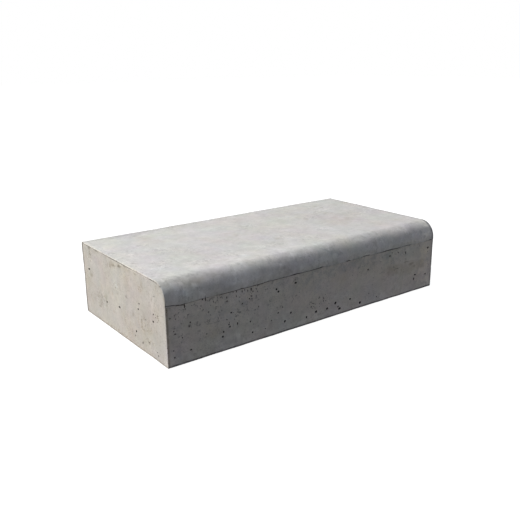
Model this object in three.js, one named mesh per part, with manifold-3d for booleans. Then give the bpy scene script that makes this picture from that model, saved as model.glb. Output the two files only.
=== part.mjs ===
// Concrete kerb stone, cast in one piece.
//
// The stone lies on its bed, as it is laid. X runs along the kerb line, the rolled nose is on
// the front, towards -Y, and Z goes up from the bed. The origin is the middle of the bed.
// Every length is in millimetres.
//
// It is cast upside down in a steel mould. A pan with a rolled corner forms the top, the nose and
// a short lip below the nose, and straight shutters form the rest of the front, the back and
// the two ends. The joint between the pan and the shutters stays on the stone as a fine groove:
// along the front below the lip, and round each end just inside the top and the nose.

import * as THREE from "three";
import { mergeVertices } from "three/addons/utils/BufferGeometryUtils.js";
import Module from "manifold-3d";

// Driving dimensions of the stone.
const LENGTH = 1000; // end face to end face
const WIDTH = 500; // front face to back face
const HEIGHT = 220; // bed to top
const NOSE_RADIUS = 50; // rolled nose where the top turns down into the front

// The mould joint along the front, a V-shaped groove.
const LIP_HEIGHT = 8; // straight lip between the end of the nose and the joint
const JOINT_WIDTH = 2.4;
const JOINT_DEPTH = 1.2;

// The mould joint round each end, a square groove that turns out to the front joint.
const END_JOINT_WIDTH = 1.6;
const END_JOINT_DEPTH = 1;
const END_JOINT_LAND = 0.4; // flat strip between the end arris and the groove

// Arrises, the eased edges that let the stone leave its mould.
const END_ARRIS = 3; // rounded, all round both end faces
const BACK_ARRIS = 3; // 45 degree chamfer, top of the back face
const BED_ARRIS = 2; // 45 degree chamfer, both long edges of the bed

// How finely the round forms are divided.
const NOSE_SEGMENTS = 30;
const ARRIS_SEGMENTS = 4;

// How far a cutting prism reaches past the stone, so that no cut ends on a face.
const OVERRUN = 10;

const CONCRETE = new THREE.MeshStandardMaterial({
  color: 0xc5c4bf,
  roughness: 0.85,
  metalness: 0,
});

const wasm = await Module();
wasm.setup();

// A closed three.js geometry as a solid that can be cut.
function solidFrom(geometry) {
  const bare = geometry.clone();
  bare.deleteAttribute("normal");
  bare.deleteAttribute("uv");
  const merged = mergeVertices(bare, 1e-4);
  return new wasm.Manifold(
    new wasm.Mesh({
      numProp: 3,
      vertProperties: merged.attributes.position.array,
      triVerts: new Uint32Array(merged.index.array),
    }),
  );
}

// A cut solid as a three.js geometry again.
function geometryFrom(solid) {
  const mesh = solid.getMesh();
  const geometry = new THREE.BufferGeometry();
  geometry.setAttribute(
    "position",
    new THREE.BufferAttribute(mesh.vertProperties, mesh.numProp),
  );
  geometry.setIndex(new THREE.BufferAttribute(mesh.triVerts, 1));
  geometry.computeVertexNormals();
  return geometry;
}

// Turns an extrusion so that its outline's x and y lie along Y and Z, and its depth along X.
function layAlongX(geometry, start) {
  const yAxis = new THREE.Vector3(0, 1, 0);
  const zAxis = new THREE.Vector3(0, 0, 1);
  const xAxis = new THREE.Vector3(1, 0, 0);
  geometry.applyMatrix4(new THREE.Matrix4().makeBasis(yAxis, zAxis, xAxis));
  geometry.translate(start, 0, 0);
  return geometry;
}

// The cross-section: three square corners, and the rolled nose at the top of the front.
function section() {
  const front = -WIDTH / 2;
  const back = WIDTH / 2;
  const outline = new THREE.Shape();
  outline.moveTo(front, 0);
  outline.lineTo(back, 0);
  outline.lineTo(back, HEIGHT);
  outline.lineTo(front + NOSE_RADIUS, HEIGHT);
  outline.absarc(
    front + NOSE_RADIUS,
    HEIGHT - NOSE_RADIUS,
    NOSE_RADIUS,
    Math.PI / 2,
    Math.PI,
    false,
  );
  outline.lineTo(front, 0);
  return outline;
}

// The block: the section run along the kerb, with the arris rounded into both end faces. The
// arris eats into the outline and the length, so the overall sizes stay as stated.
function block() {
  const geometry = new THREE.ExtrudeGeometry(section(), {
    depth: LENGTH - 2 * END_ARRIS,
    curveSegments: NOSE_SEGMENTS,
    bevelEnabled: true,
    bevelThickness: END_ARRIS,
    bevelSize: END_ARRIS,
    bevelOffset: -END_ARRIS,
    bevelSegments: ARRIS_SEGMENTS,
  });
  return solidFrom(layAlongX(geometry, END_ARRIS - LENGTH / 2));
}

// A prism of the given outline that cuts from one place along the kerb to another.
function cutter(outline, start, end) {
  const geometry = new THREE.ExtrudeGeometry(outline, {
    depth: end - start,
    curveSegments: NOSE_SEGMENTS,
    bevelEnabled: false,
  });
  return solidFrom(layAlongX(geometry, start));
}

// The same, longer than the stone.
function longCutter(points) {
  const reach = LENGTH / 2 + OVERRUN;
  return cutter(new THREE.Shape(points), -reach, reach);
}

// Cuts a 45 degree chamfer off a long edge. The edge is at (y, z), and towardY and towardZ, each
// 1 or -1, point from the middle of the section to that edge.
function chamferCutter(y, z, size, towardY, towardZ) {
  const out = size + 2 * OVERRUN;
  const points = [
    new THREE.Vector2(y + towardY * OVERRUN, z + towardZ * (OVERRUN - out)),
    new THREE.Vector2(y + towardY * OVERRUN, z + towardZ * OVERRUN),
    new THREE.Vector2(y + towardY * (OVERRUN - out), z + towardZ * OVERRUN),
  ];
  return longCutter(points);
}

// The height of the joint between the pan and the front shutter.
function jointHeight() {
  return HEIGHT - NOSE_RADIUS - LIP_HEIGHT;
}

// The mould joint along the front: a V with its mouth on the front face, below the lip.
function frontJointCutter() {
  const front = -WIDTH / 2;
  const jointZ = jointHeight();
  const slope = JOINT_WIDTH / 2 / JOINT_DEPTH;
  const mouth = (JOINT_DEPTH + OVERRUN) * slope;
  return longCutter([
    new THREE.Vector2(front + JOINT_DEPTH, jointZ),
    new THREE.Vector2(front - OVERRUN, jointZ + mouth),
    new THREE.Vector2(front - OVERRUN, jointZ - mouth),
  ]);
}

// The groove that the mould joint leaves on an end face, seen end on. It comes in from the back,
// follows the top and the nose, goes down the lip and turns out to the joint on the front.
function endJoint() {
  const front = -WIDTH / 2;
  const noseY = front + NOSE_RADIUS;
  const noseZ = HEIGHT - NOSE_RADIUS;
  const jointZ = jointHeight();
  const outer = END_ARRIS + END_JOINT_LAND;
  const inner = outer + END_JOINT_WIDTH;
  const outline = new THREE.Shape();
  outline.moveTo(WIDTH / 2 + OVERRUN, HEIGHT - outer);
  outline.lineTo(noseY, HEIGHT - outer);
  outline.absarc(noseY, noseZ, NOSE_RADIUS - outer, Math.PI / 2, Math.PI, false);
  outline.lineTo(front + outer, jointZ + END_JOINT_WIDTH / 2);
  outline.lineTo(front - OVERRUN, jointZ + END_JOINT_WIDTH / 2);
  outline.lineTo(front - OVERRUN, jointZ - END_JOINT_WIDTH / 2);
  outline.lineTo(front + inner, jointZ - END_JOINT_WIDTH / 2);
  outline.lineTo(front + inner, noseZ);
  outline.absarc(noseY, noseZ, NOSE_RADIUS - inner, Math.PI, Math.PI / 2, true);
  outline.lineTo(WIDTH / 2 + OVERRUN, HEIGHT - inner);
  return outline;
}

function kerbStone() {
  const end = LENGTH / 2;
  const solid = block()
    .subtract(chamferCutter(WIDTH / 2, HEIGHT, BACK_ARRIS, 1, 1))
    .subtract(chamferCutter(WIDTH / 2, 0, BED_ARRIS, 1, -1))
    .subtract(chamferCutter(-WIDTH / 2, 0, BED_ARRIS, -1, -1))
    .subtract(frontJointCutter())
    .subtract(cutter(endJoint(), -end - OVERRUN, -end + END_JOINT_DEPTH))
    .subtract(cutter(endJoint(), end - END_JOINT_DEPTH, end + OVERRUN));
  const mesh = new THREE.Mesh(geometryFrom(solid), CONCRETE);
  mesh.name = "kerb_stone";
  return mesh;
}

const kerb = new THREE.Group();
kerb.add(kerbStone());

export default kerb;
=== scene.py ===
import math
import random

import bmesh
import bpy
import numpy as np
from mathutils import Euler, Matrix, Vector, noise
from mathutils.geometry import delaunay_2d_cdt


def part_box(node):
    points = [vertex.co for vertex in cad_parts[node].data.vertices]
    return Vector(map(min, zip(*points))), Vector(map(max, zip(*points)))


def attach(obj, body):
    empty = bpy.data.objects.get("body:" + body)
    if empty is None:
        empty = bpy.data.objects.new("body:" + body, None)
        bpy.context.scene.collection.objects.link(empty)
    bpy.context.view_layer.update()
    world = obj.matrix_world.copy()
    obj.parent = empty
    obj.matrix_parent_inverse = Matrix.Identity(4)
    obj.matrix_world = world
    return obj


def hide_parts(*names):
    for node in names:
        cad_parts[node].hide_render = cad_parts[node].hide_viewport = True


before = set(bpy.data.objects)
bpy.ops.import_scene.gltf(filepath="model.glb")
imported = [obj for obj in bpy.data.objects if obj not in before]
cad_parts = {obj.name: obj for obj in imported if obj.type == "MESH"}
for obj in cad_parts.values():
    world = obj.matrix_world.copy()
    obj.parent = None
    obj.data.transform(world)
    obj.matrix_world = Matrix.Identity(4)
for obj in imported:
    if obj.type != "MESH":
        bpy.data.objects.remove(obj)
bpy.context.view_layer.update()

# ---------------------------------------------------------------------------------------------
# The kerb stone
#
# One block of plain concrete, cast upside down in a steel mould. A pan with a rolled corner forms
# the top, the nose and a short lip, and flat shutters form the front below it, the back and the
# ends. The open side of the mould is floated off by hand, and becomes the bed.
# ---------------------------------------------------------------------------------------------

MM = 0.001
stone_low, stone_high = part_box("kerb_stone")
LEFT, RIGHT = stone_low.x, stone_high.x
FRONT, BACK = stone_low.y, stone_high.y
BED, TOP = stone_low.z, stone_high.z
NOSE_RADIUS = 50 * MM
NOSE_Y, NOSE_Z = FRONT + NOSE_RADIUS, TOP - NOSE_RADIUS  # the middle of the nose's curve
LIP_HEIGHT = 8 * MM  # straight lip between the end of the nose and the mould joint
JOINT_Z = NOSE_Z - LIP_HEIGHT
PAN_STEP = 0.35 * MM  # the front shutter stands this far inside the pan
END_ARRIS = 2.6 * MM
BACK_ARRIS = 4.4 * MM
BED_ARRIS = 3.6 * MM

# How finely the cast block is divided.
FACE_STEP = 12 * MM
NOSE_STEPS = 40
ARRIS_STEPS = 4
EASE = 0.8 * MM  # a narrow strip beside each arris, which keeps the flat face flat


def straight_run(start, end, eased=True):
    """Points from start up to, and without, end, with one point close to each end if eased."""
    length = (end - start).length
    count = max(1, round(length / FACE_STEP))
    shares = [i / count for i in range(count)]
    if eased:
        shares += [EASE / length, 1 - EASE / length]
    return [start.lerp(end, share) for share in sorted(shares)]


def quarter_turn(centre, radius, start_degrees, steps):
    """Points on a clockwise quarter circle in y and z, without its last."""
    turns = [math.radians(start_degrees - 90 * i / steps) for i in range(steps)]
    return [centre + radius * Vector((math.cos(a), math.sin(a))) for a in turns]


def section_outline():
    """The stone's cross-section in y and z, clockwise from the bed's front edge up the front."""
    shutter_y = FRONT + PAN_STEP
    front_bed = Vector((shutter_y + BED_ARRIS, BED + BED_ARRIS))
    back_bed = Vector((BACK - BED_ARRIS, BED + BED_ARRIS))
    back_top = Vector((BACK - BACK_ARRIS, TOP - BACK_ARRIS))
    below_joint = Vector((shutter_y, JOINT_Z - EASE / 2))
    above_joint = Vector((FRONT, JOINT_Z + EASE / 2))
    points = straight_run(Vector((shutter_y, front_bed.y)), below_joint)
    points += [below_joint]
    points += straight_run(above_joint, Vector((FRONT, NOSE_Z)), eased=False)
    points += quarter_turn(Vector((NOSE_Y, NOSE_Z)), NOSE_RADIUS, 180, NOSE_STEPS)
    points += straight_run(Vector((NOSE_Y, TOP)), Vector((back_top.x, TOP)))
    points += quarter_turn(back_top, BACK_ARRIS, 90, ARRIS_STEPS)
    points += straight_run(Vector((BACK, back_top.y)), Vector((BACK, back_bed.y)))
    points += quarter_turn(back_bed, BED_ARRIS, 0, ARRIS_STEPS)
    points += straight_run(Vector((back_bed.x, BED)), Vector((front_bed.x, BED)))
    points += quarter_turn(front_bed, BED_ARRIS, 270, ARRIS_STEPS)
    return points


def drawn_in(outline, inset):
    """The outline, clockwise, moved inwards."""
    moved = []
    for i, point in enumerate(outline):
        along = outline[(i + 1) % len(outline)] - outline[i - 1]
        moved.append(point + Vector((along.y, -along.x)).normalized() * inset)
    return moved


def stations():
    """(x, how far the outline is drawn in there) from the left end face to the right one."""
    turns = [math.radians(90 * i / ARRIS_STEPS) for i in range(ARRIS_STEPS)]
    end = [(0, END_ARRIS + EASE)]
    end += [(END_ARRIS * (1 - math.cos(a)), END_ARRIS * (1 - math.sin(a))) for a in turns]
    start, stop = Vector((LEFT + END_ARRIS, 0)), Vector((RIGHT - END_ARRIS, 0))
    run = straight_run(start, stop) + [stop]
    return (
        [(LEFT + along, inset) for along, inset in end]
        + [(point.x, 0) for point in run]
        + [(RIGHT - along, inset) for along, inset in reversed(end)]
    )


def depth_in_section(point):
    """How deep a point of the cross-section lies below the nearest face of the section."""
    y, z = point
    front_or_top = NOSE_RADIUS - math.hypot(max(NOSE_Y - y, 0), max(z - NOSE_Z, 0))
    return min(front_or_top, BACK - y, z - BED)


def close_end(form, ring):
    """Closes an end face with triangles over an even grid of points."""
    rim = [Vector((v.co.y, v.co.z)) for v in ring]
    rows = round((TOP - BED) / FACE_STEP)
    columns = round((BACK - FRONT) / FACE_STEP)
    inside = []
    for row in range(1, rows):
        for column in range(columns):
            across = (column + 0.5 * (row % 2)) / columns
            point = Vector((FRONT + across * (BACK - FRONT), BED + row / rows * (TOP - BED)))
            if depth_in_section(point) > END_ARRIS + FACE_STEP / 2:
                inside.append(point)
    edges = [(i, (i + 1) % len(rim)) for i in range(len(rim))]
    points, _, faces, *_ = delaunay_2d_cdt(rim + inside, edges, [], 1, 1e-6)
    made = list(ring) + [form.verts.new((ring[0].co.x, *p)) for p in points[len(ring):]]
    for face in faces:
        form.faces.new([made[i] for i in face])


def cast_block():
    """The block before any blemish: a closed mesh, its faces outwards."""
    outline = section_outline()
    form = bmesh.new()
    rings = []
    for x, inset in stations():
        rings.append([form.verts.new((x, *point)) for point in drawn_in(outline, inset)])
    for ring, following in zip(rings, rings[1:]):
        for i in range(len(ring)):
            j = (i + 1) % len(ring)
            form.faces.new((ring[i], ring[j], following[j], following[i]))
    close_end(form, rings[0])
    close_end(form, rings[-1])
    bmesh.ops.recalc_face_normals(form, faces=form.faces)
    mesh = bpy.data.meshes.new("concrete_kerb")
    form.to_mesh(mesh)
    form.free()
    return mesh


def in_scene(name, data):
    """A new object, linked to the scene."""
    made = bpy.data.objects.new(name, data)
    bpy.context.scene.collection.objects.link(made)
    return made


kerb = in_scene("concrete_kerb", cast_block())
concrete = bpy.data.materials.new("cast_concrete")


def add(tree, kind, inputs=None, **settings):
    """Adds a node. Each input is given a value, or the output of another node."""
    node = tree.nodes.new(kind)
    for name, value in settings.items():
        setattr(node, name, value)
    for name, value in (inputs or {}).items():
        if isinstance(value, bpy.types.NodeSocket):
            tree.links.new(value, node.inputs[name])
        else:
            node.inputs[name].default_value = value
    return node


def math_of(tree, operation, *values):
    """One step of arithmetic on values, or on the outputs of other nodes."""
    return add(tree, "ShaderNodeMath", dict(enumerate(values)), operation=operation).outputs[0]


def vector_of(tree, operation, *values):
    """The same for vectors."""
    inputs = dict(enumerate(values))
    return add(tree, "ShaderNodeVectorMath", inputs, operation=operation).outputs[0]


def fitted(tree, value, low, high, to_low=0.0, to_high=1.0):
    """A value taken smoothly from the range low to high, to the range to_low to to_high."""
    inputs = {"Value": value, 1: low, 2: high, 3: to_low, 4: to_high}
    smooth = {"interpolation_type": "SMOOTHSTEP", "clamp": False}  # it stays in range unclamped
    return add(tree, "ShaderNodeMapRange", inputs, **smooth).outputs[0]


def scaled(tree, vector, factor):
    """A vector made longer or shorter."""
    inputs = {0: vector, "Scale": factor}
    return add(tree, "ShaderNodeVectorMath", inputs, operation="SCALE").outputs[0]


def noise_of(tree, vector, length, detail=2.0, roughness=0.5, start=0.0, output="Fac"):
    """Noise with lumps of the given length, from 0 to 1 and mostly near 0.5."""
    inputs = {"Vector": vector, "W": start, "Detail": detail, "Roughness": roughness}
    inputs["Scale"] = 1 / length
    return add(tree, "ShaderNodeTexNoise", inputs, noise_dimensions="4D").outputs[output]


def geometry_of(tree, kind, inputs=None, output=0, **settings):
    """One step of geometry. It gives one output of the node."""
    return add(tree, "GeometryNode" + kind, inputs, **settings).outputs[output]


def attribute(tree, name, kind="FLOAT"):
    """A named value that the geometry carries."""
    return geometry_of(tree, "InputNamedAttribute", {"Name": name}, data_type=kind)


def random_of(tree, low, high, seed, kind="FLOAT"):
    """A value from low to high, drawn for each point."""
    first, output = {"FLOAT_VECTOR": (0, 0), "FLOAT": (2, 1), "INT": (4, 2)}[kind]
    inputs = {first: low, first + 1: high, "Seed": seed}
    return add(tree, "FunctionNodeRandomValue", inputs, data_type=kind).outputs[output]


def varied_size(tree, smallest, largest, rarity, least, most, seed):
    """A size for each point, near the smallest for most, and of proportions from least to most."""
    rare = math_of(tree, "POWER", random_of(tree, 0.0, 1.0, seed), rarity)
    spread = math_of(tree, "SUBTRACT", largest, smallest)
    radius = math_of(tree, "MULTIPLY_ADD", rare, spread, smallest)
    return scaled(tree, random_of(tree, least, most, seed, "FLOAT_VECTOR"), radius)


def followed(tree, guide, kind):
    """A guide's lines as curves, or its points, where kind is MeshToCurve or MeshToPoints."""
    lines = geometry_of(tree, "ObjectInfo", {"Object": guide}, "Geometry")
    return geometry_of(tree, kind, {0: lines})


def laid_on(tree, block, geometry):
    """Curves or points moved onto the nearest faces of the block."""
    on_face = geometry_of(tree, "Proximity", {0: block}, "Position", target_element="FACES")
    return geometry_of(tree, "SetPosition", {0: geometry, "Position": on_face})


def joined(tree, parts):
    """Several geometries as one."""
    join = add(tree, "GeometryNodeJoinGeometry")
    for part in parts:
        tree.links.new(part, join.inputs[0])
    return join.outputs[0]


def realized(tree, geometry):
    """Instances made real."""
    return geometry_of(tree, "RealizeInstances", {0: geometry})


def cut_out(tree, block, tool):
    """Cuts the tool's shape out of the block. The faces that it leaves are marked as hollow."""
    inputs = {"Geometry": tool, "Name": "hollow", "Value": 1.0}
    marked = geometry_of(tree, "StoreNamedAttribute", inputs, data_type="FLOAT", domain="FACE")
    inputs = {"Mesh 1": block, "Mesh 2": marked}
    how = {"operation": "DIFFERENCE", "solver": "MANIFOLD"}
    return geometry_of(tree, "MeshBoolean", inputs, "Mesh", **how)


SOCKET_KINDS = {
    float: "Float", int: "Int", bpy.types.Object: "Object", bpy.types.Material: "Material",
}


def shape_by(build, sizes):
    """Shapes the kerb by a tree whose inputs have the names, kinds and values of the sizes."""
    tree = bpy.data.node_groups.new(build.__name__, "GeometryNodeTree")
    sockets = tree.interface
    sockets.new_socket("Geometry", in_out="INPUT", socket_type="NodeSocketGeometry")
    values = {}
    for name, value in (sizes | {"Concrete": concrete}).items():
        kind = "NodeSocket" + SOCKET_KINDS[type(value)]
        values[sockets.new_socket(name, in_out="INPUT", socket_type=kind).identifier] = value
    sockets.new_socket("Geometry", in_out="OUTPUT", socket_type="NodeSocketGeometry")
    given = tree.nodes.new("NodeGroupInput").outputs
    inputs = {0: realized(tree, build(tree, given)), "Material": given["Concrete"]}
    add(tree, "NodeGroupOutput", {0: geometry_of(tree, "SetMaterial", inputs)})
    modifier = kerb.modifiers.new(tree.name, "NODES")
    modifier.node_group = tree
    for identifier, value in values.items():
        modifier[identifier] = value


# The waves of the mould's steel faces, and of the bed that is floated by hand. They only draw the
# faces in, so the stone keeps within its sizes.


def mould_waves(tree, given):
    """Draws the faces of the block in by long, low waves."""
    place = geometry_of(tree, "InputPosition")

    def drawn_in_by(wave, length):
        scale = math_of(tree, "DIVIDE", 1.0, given[length])
        inputs = {"Vector": place, "W": given["Seed"], "Scale": scale, "Detail": 1.5}
        hills = add(tree, "ShaderNodeTexNoise", inputs, noise_dimensions="4D").outputs[0]
        return math_of(tree, "MULTIPLY", fitted(tree, hills, 0.33, 0.70), given[wave])

    height = add(tree, "ShaderNodeSeparateXYZ", {0: place}).outputs["Z"]
    inputs = {
        "Switch": math_of(tree, "LESS_THAN", height, 0.2 * MM),
        "False": drawn_in_by("Wave", "Wave length"),
        "True": drawn_in_by("Bed wave", "Bed wave length"),
    }
    amount = geometry_of(tree, "Switch", inputs, input_type="FLOAT")
    inwards = math_of(tree, "MULTIPLY", amount, -1.0)
    offset = scaled(tree, geometry_of(tree, "InputNormal"), inwards)
    return geometry_of(tree, "SetPosition", {0: given["Geometry"], "Offset": offset})


shape_by(mould_waves, {
    "Wave": 1.0 * MM,
    "Wave length": 95 * MM,
    "Bed wave": 1.3 * MM,
    "Bed wave length": 45 * MM,
    "Seed": 3.0,
})

# The mould joints. The pan meets the front shutter, and the two end plates. The grout that bleeds
# there leaves a fine dark groove, open in some stretches and nearly closed in others.

GROOVE_STEP = 4 * MM
GROOVE_SIDES = 7
GROOVE_WANDER = 0.6 * MM
FRONT_RAGGEDNESS = 0.35  # the share by which the groove's width varies along the front
END_RAGGEDNESS = 0.40  # and round the ends
OVERRUN = 3 * MM  # how far a groove's cutting bead runs past the stone
END_JOINT_INSET = 4.2 * MM  # from the top and the nose to the groove on an end face

# The groove along the front, in mm: the place along the kerb, half the groove's width there,
# and how far it strays above its mean height.
FRONT_GROOVE = (
    (-505, 1.5, 3.5), (-480, 1.75, 2.5), (-455, 1.5, -2.5), (-445, 0.75, -1.5), (-415, 0.5, -1.5),
    (-400, 1.0, 0.0), (-385, 0.75, -0.5), (-360, 0.5, -1.0), (-325, 1.0, -2.0), (-290, 0.75, -1.5),
    (-275, 1.25, -0.5), (-245, 1.0, -1.5), (-200, 1.25, -0.5), (-185, 1.25, 1.0), (-165, 1.0, 0.0),
    (-145, 1.25, 1.0), (-110, 1.25, 1.0), (-85, 2.0, 1.5), (-65, 1.0, 0.5), (-45, 0.75, -0.5),
    (-30, 0.75, 0.5), (5, 1.75, 2.0), (15, 0.75, 2.5), (30, 0.5, 1.0), (95, 0.25, -0.5),
    (105, 1.25, 2.0), (115, 1.5, 1.5), (125, 0.5, 0.5), (165, 1.0, 0.0), (180, 1.75, 2.0),
    (195, 1.5, 2.0), (205, 0.5, 1.0), (220, 0.5, 1.0), (230, 1.0, 1.5), (255, 1.0, 0.5),
    (270, 2.0, 1.5), (285, 2.0, 1.5), (305, 1.75, 1.5), (325, 1.5, 0.0), (340, 1.25, 2.0),
    (380, 1.25, 1.5), (405, 0.5, 2.5), (450, 0.25, 1.0), (460, 0.75, 0.5), (485, 1.5, 1.0),
    (505, 0.5, 0.5),
)
# The same round each end, from the back edge forward and down the nose: (distance, half width).
END_GROOVE = (
    (-5, 1.25), (100, 1.5), (120, 1.0), (270, 1.0), (290, 1.25), (355, 1.25), (380, 1.0),
    (420, 1.0), (435, 1.5), (460, 1.25), (470, 0.5), (545, 0.5),
)


def at_knots(knots, distance):
    """The values that a list of knots gives at a distance, all in metres."""
    places, *columns = zip(*knots)
    return [float(np.interp(distance / MM, places, column)) * MM for column in columns]


def guide(name, lines, values):
    """An object of lines or lone points that a tree follows, with named values at its points."""
    mesh = bpy.data.meshes.new(name)
    points, edges = [], []
    for line in lines:
        edges += [(len(points) + i, len(points) + i + 1) for i in range(len(line) - 1)]
        points += line
    mesh.from_pydata(points, edges, [])
    for value, numbers in values.items():
        is_vector = isinstance(numbers[0], Vector)
        kind, field = ("FLOAT_VECTOR", "vector") if is_vector else ("FLOAT", "value")
        flat = [part for number in numbers for part in number] if is_vector else numbers
        mesh.attributes.new(value, kind, "POINT").data.foreach_set(field, flat)
    return bpy.data.objects.new(name, mesh)


def front_groove():
    """The line of the joint along the front, and the groove's half width at its points."""
    line, widths = [], []
    count = round((RIGHT - LEFT + 2 * OVERRUN) / GROOVE_STEP)
    for i in range(count + 1):
        x = LEFT - OVERRUN + i * (RIGHT - LEFT + 2 * OVERRUN) / count
        wander = GROOVE_WANDER * noise.noise(Vector((x * 35, 0.5, 0)))
        ragged = 1 + FRONT_RAGGEDNESS * noise.noise(Vector((x * 160, 4.5, 0)))
        half_width, strayed = at_knots(FRONT_GROOVE, x)
        line.append(Vector((x, FRONT, JOINT_Z + strayed + wander)))
        widths.append(half_width * ragged)
    return line, widths


def end_groove(x, starts_at_front):
    """The same round the end face at x. The two ends are worn in opposite order."""
    radius = NOSE_RADIUS - END_JOINT_INSET
    flat = BACK + OVERRUN - NOSE_Y
    bend = radius * math.pi / 2
    lip = NOSE_Z - JOINT_Z
    length = flat + bend + lip + END_JOINT_INSET
    count = round(length / GROOVE_STEP)
    line, widths = [], []
    for i in range(count + 1):
        gone = i * length / count
        turn = min(max(gone - flat, 0) / radius, math.pi / 2)
        down = min(max(gone - flat - bend, 0), lip)
        out = max(gone - flat - bend - lip, 0)
        y = NOSE_Y + max(flat - gone, 0) - radius * math.sin(turn) - out
        z = NOSE_Z + radius * math.cos(turn) - down
        ragged = 1 + END_RAGGEDNESS * noise.noise(Vector((gone * 140, x * 9, 2.5)))
        line.append(Vector((x, y, z)))
        from_back = length - gone if starts_at_front else gone
        widths += [width * ragged for width in at_knots(END_GROOVE, from_back - OVERRUN)]
    return line, widths


def mould_joint(tree, given):
    """Cuts a bead that follows the grooves out of the block."""
    line = followed(tree, given["Grooves"], "MeshToCurve")
    ring = {"Resolution": given["Sides"], "Radius": 1.0}
    bead = geometry_of(tree, "CurveToMesh", {
        "Curve": laid_on(tree, given["Geometry"], line),
        "Profile Curve": geometry_of(tree, "CurvePrimitiveCircle", ring),
        "Scale": attribute(tree, "reach"),
        "Fill Caps": True,
    })
    return cut_out(tree, given["Geometry"], bead)


groove_runs = [front_groove(), end_groove(LEFT, False), end_groove(RIGHT, True)]
grooves = guide(
    "groove_lines",
    [line for line, widths in groove_runs],
    {"reach": [width for line, widths in groove_runs for width in widths]},
)
shape_by(mould_joint, {"Grooves": grooves, "Sides": GROOVE_SIDES})

# The blowholes, left by air that was trapped against the steel. The upright shutters hold many,
# the pan, which lay at the bottom, holds few, and the floated bed holds none. The larger ones on
# the front and the left end are placed one by one, and the rest lie as they fall.

HOLE_SIDES = 9
HOLE_RINGS = 6
HOLE_KINDS = 4
HOLE_SUNK = 0.25  # how far a void's middle lies below the face, as a share of its half depth
HOLE_DEPTH = 0.8  # of a placed hole's void, as a share of the lesser of its width and height
HOLE_SEED = 11

# How thickly the small and the large blowholes lie on each face, as a share of the most.
HOLE_SHARES = {
    # outwards: small, large
    (0, -1, 0): (0.4, 0.0),
    (0, 1, 0): (1.0, 1.0),
    (-1, 0, 0): (0.5, 0.0),
    (1, 0, 0): (0.5, 0.4),
    (0, 0, 1): (0.05, 0.0),
}

# Blowholes on the front, in mm: x along the kerb, height above the bed, width, height of the hole.
FRONT_HOLES = (
    (-488, 132, 4.5, 4), (-432, 108, 5.5, 5), (-435, 98, 3.5, 4), (-479, 96, 4.5, 4),
    (-476, 88, 4.5, 5), (-456, 73, 4.5, 4), (-433, 34, 6, 5.5), (-482, 45, 4.5, 4),
    (-480, 26, 4.5, 5.5), (-377, 122, 4.5, 4), (-321, 147, 4, 3.5), (-320, 138, 5, 4.5),
    (-249, 128, 4.5, 4), (-272, 120, 4.5, 4), (-322, 87, 3.5, 5), (-316, 72, 4.5, 5.5),
    (-313, 65, 7, 5.5), (-289, 67, 4.5, 10), (-333, 56, 6, 6), (-336, 43, 6, 7),
    (-385, 64, 4.5, 4), (-240, 30, 6, 5.5), (-247, 63, 5.5, 6), (-308, 103, 6, 5.5),
    (-158, 134, 7.5, 6.5), (-151, 126, 7, 7), (-90, 138, 8.5, 7), (-219, 99, 4.5, 4),
    (-137, 77, 4, 4.5), (-107, 53, 7, 7), (-152, 64, 6, 5.5), (-48, 25, 7.5, 7), (-12, 33, 9.5, 8),
    (-31, 52, 6, 5), (31, 32, 8.5, 7.5), (64, 42, 11, 9.5), (81, 20, 11, 9), (75, 27, 7, 6.5),
    (-128, 33, 8, 7.5), (-197, 29, 4.5, 4), (-176, 47, 4.5, 4), (197, 118, 5, 5),
    (418, 56, 7.5, 6.5), (413, 43, 7, 10), (474, 138, 9, 8), (331, 147, 6, 4), (365, 140, 4.5, 11),
    (293, 143, 6.5, 7), (469, 49, 7, 6.5), (205, 39, 4, 4), (167, 18, 11, 9.5), (124, 40, 7.5, 6.5),
    (240, 21, 4.5, 4), (-446, 155, 4.5, 13), (-385, 158, 3.5, 11), (-394, 160, 4, 6), (-272, 154, 4, 8),
    (-264, 156, 3, 6), (-254, 151, 3, 9), (-243, 153, 4, 11), (-237, 146, 3, 6),
)
# On the left end, in mm: y across the stone, height above the bed, width, height of the hole.
END_HOLES = (
    (208, 145, 13, 7), (13, 84, 10, 8), (-109, 131, 6, 5.5), (-102, 114, 6, 7),
    (-186, 126, 6, 5.5), (-183, 105, 9, 7), (-210, 129, 4.5, 4), (-84, 46, 7.5, 8),
    (-76, 31, 4.5, 5.5), (-118, 25, 6, 7), (-153, 38, 4.5, 4), (-195, 176, 4.5, 4),
    (-33, 130, 6, 4), (96, 75, 6, 8), (-142, 97, 4.5, 4), (-196, 26, 4, 4), (-201, 18, 4.5, 4),
    (-197, 121, 4, 3.5), (-205, 111, 3, 3), (-213, 119, 3, 3),
)
# Runs of small holes on the front, drawn out as the concrete slid down the steel: the middle of
# the run, its half width and half height, the width and height of a hole, its lean, and how many.
FRONT_RUNS = (
    (-357, 135, 140, 25, 2.4, 5.5, 6, 44),
    (5, 62, 44, 17, 2.2, 5.0, 48, 26),
    (325, 144, 40, 10, 2.4, 4.5, 20, 9),
    (-254, 81, 80, 30, 2.0, 3.4, 10, 16),
)
# Turns that point a hole's depth out of the face and its height up.
UPRIGHT_FRONT = Euler((math.radians(90), 0, 0))
UPRIGHT_END = Euler((math.radians(90), 0, math.radians(-90)))


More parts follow.
